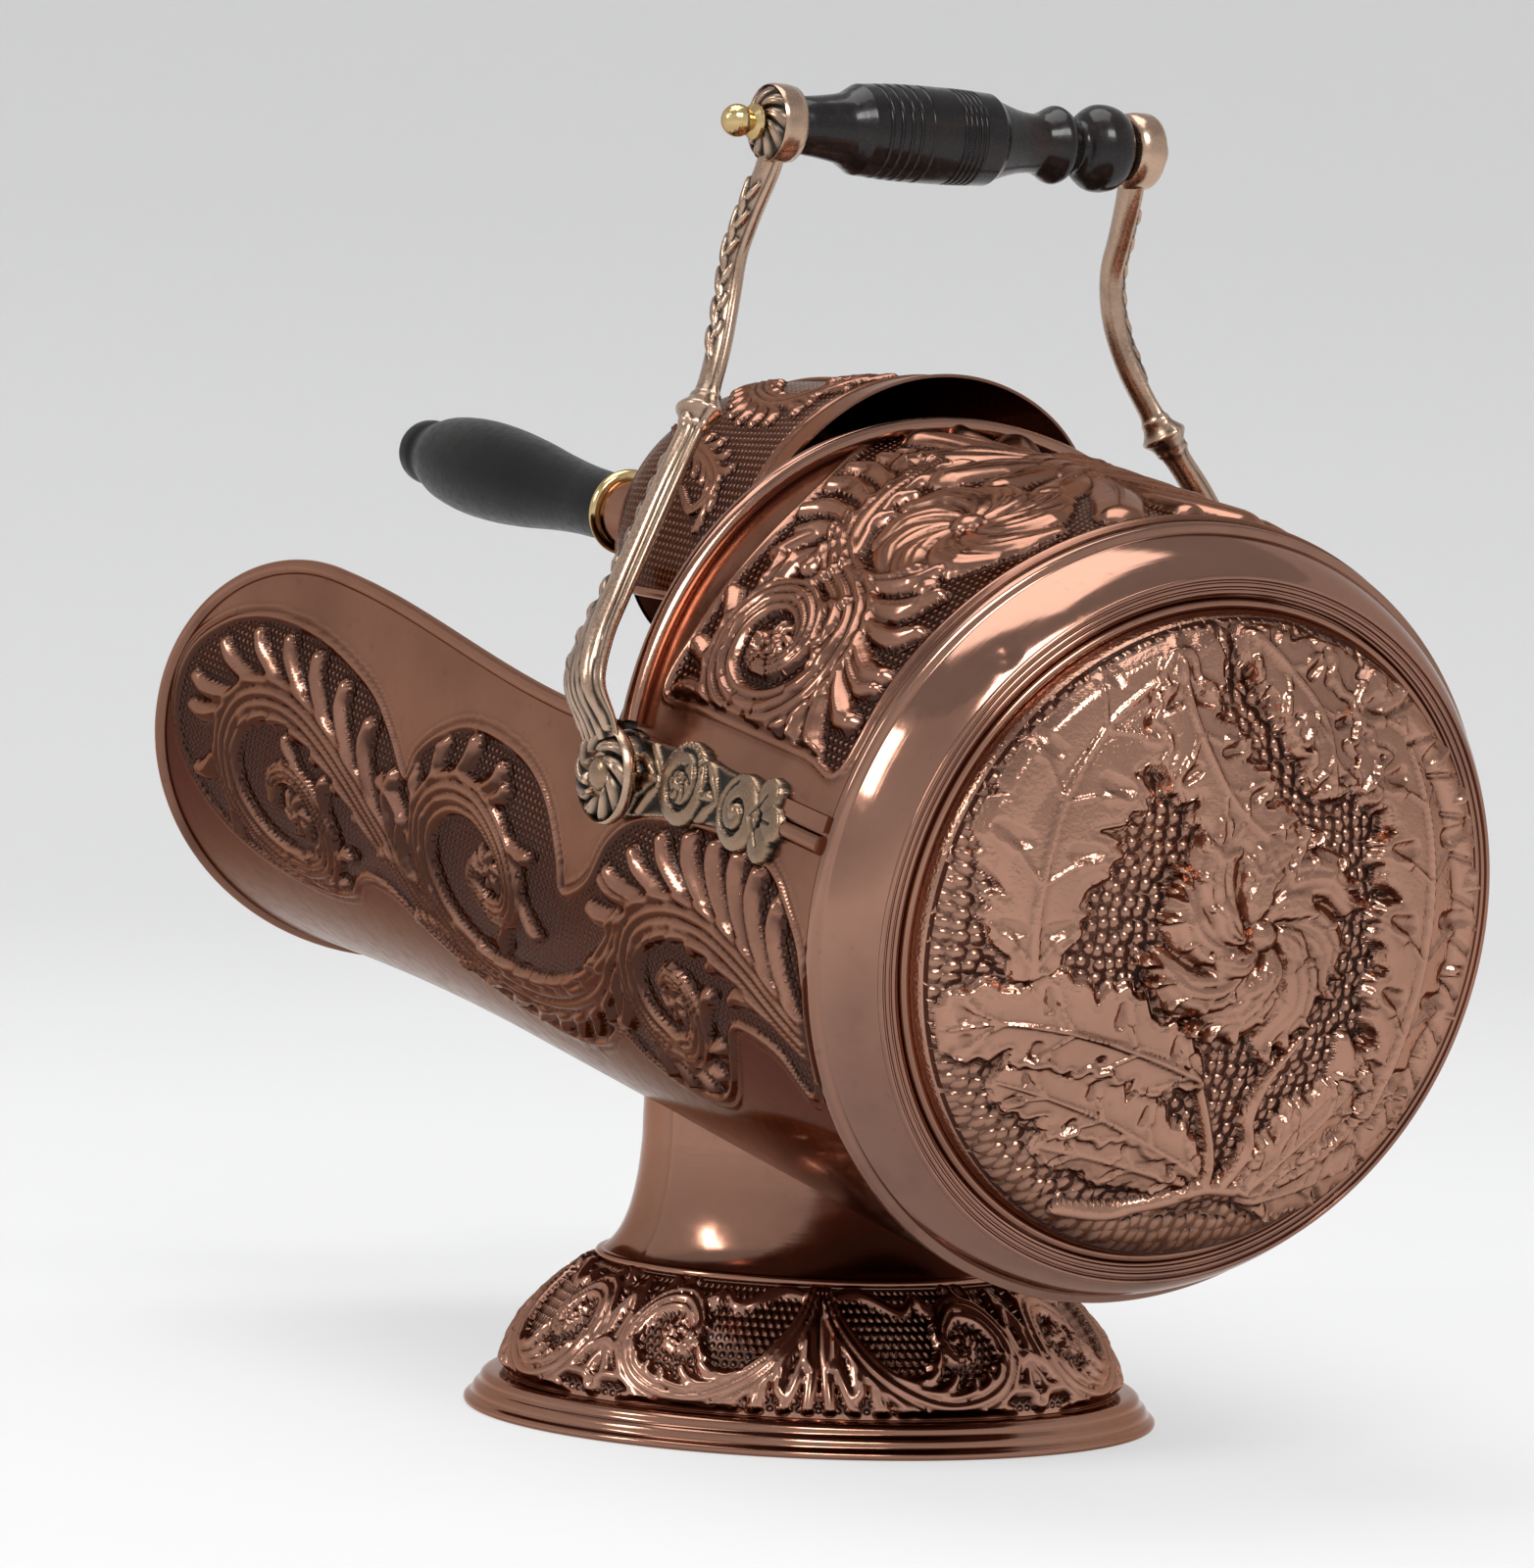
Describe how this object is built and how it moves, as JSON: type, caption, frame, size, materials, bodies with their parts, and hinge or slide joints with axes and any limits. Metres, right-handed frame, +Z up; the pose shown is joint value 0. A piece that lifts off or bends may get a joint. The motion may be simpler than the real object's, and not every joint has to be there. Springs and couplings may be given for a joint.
{
  "type": "coal scuttle",
  "caption": "Embossed copper helmet coal scuttle on a round flared foot, with an open spout, a swinging bail with a turned grip, and a lift-out shovel hung in its mouth.",
  "frame": {"origin": "centre of the round foot, on the surface it stands on", "axes": "+Z up, spout and shovel handle towards -Y, closed back towards +Y, bail pivots along X"},
  "size_m": [0.343, 0.6744, 0.5305],
  "materials": {
    "copper": "polished, embossed",
    "copper_trim": "polished",
    "bronze": "aged, cast",
    "bright_brass": "polished",
    "ebonised_wood": "satin black",
    "iron": "dark"
  },
  "bodies": {
    "scuttle": {"trough_sheet": "copper", "spout_wire": "copper", "hood_sheet": "copper", "hood_bead": "copper", "seam_strip_left": "copper_trim", "seam_strip_right": "copper_trim", "back_ring": "copper", "back_dome": "copper", "foot_neck": "copper", "foot_ridge": "copper", "foot_dome": "copper", "foot_rim": "copper", "bracket_left": "bronze", "bracket_right": "bronze", "pivot_pin_left": "bronze", "pivot_pin_right": "bronze"},
    "bail": {"bail_arm_left": "bronze", "bail_arm_right": "bronze", "tie_rod": "iron", "grip": "ebonised_wood", "grip_washer_left": "bright_brass", "grip_washer_right": "bright_brass", "ball_nut": "bright_brass", "rod_head": "bronze"},
    "shovel": {"blade_sheet": "copper", "blade_plate": "copper", "blade_edge_left": "copper_trim", "blade_edge_right": "copper_trim", "shovel_socket": "copper_trim", "shovel_collar": "bright_brass", "shovel_handle": "ebonised_wood"}
  },
  "joints": [
    {"name": "bail_swing", "type": "hinge", "parent": "scuttle", "child": "bail", "pos_m": [0, 0.09147, 0.26054], "axis": [1, 0, 0], "range_deg": [-60, 36]},
    {"name": "shovel_lift", "type": "slide", "parent": "scuttle", "child": "shovel", "axis": [0, -0.9914, 0.1305], "range_m": [0, 0.06]}
  ]
}
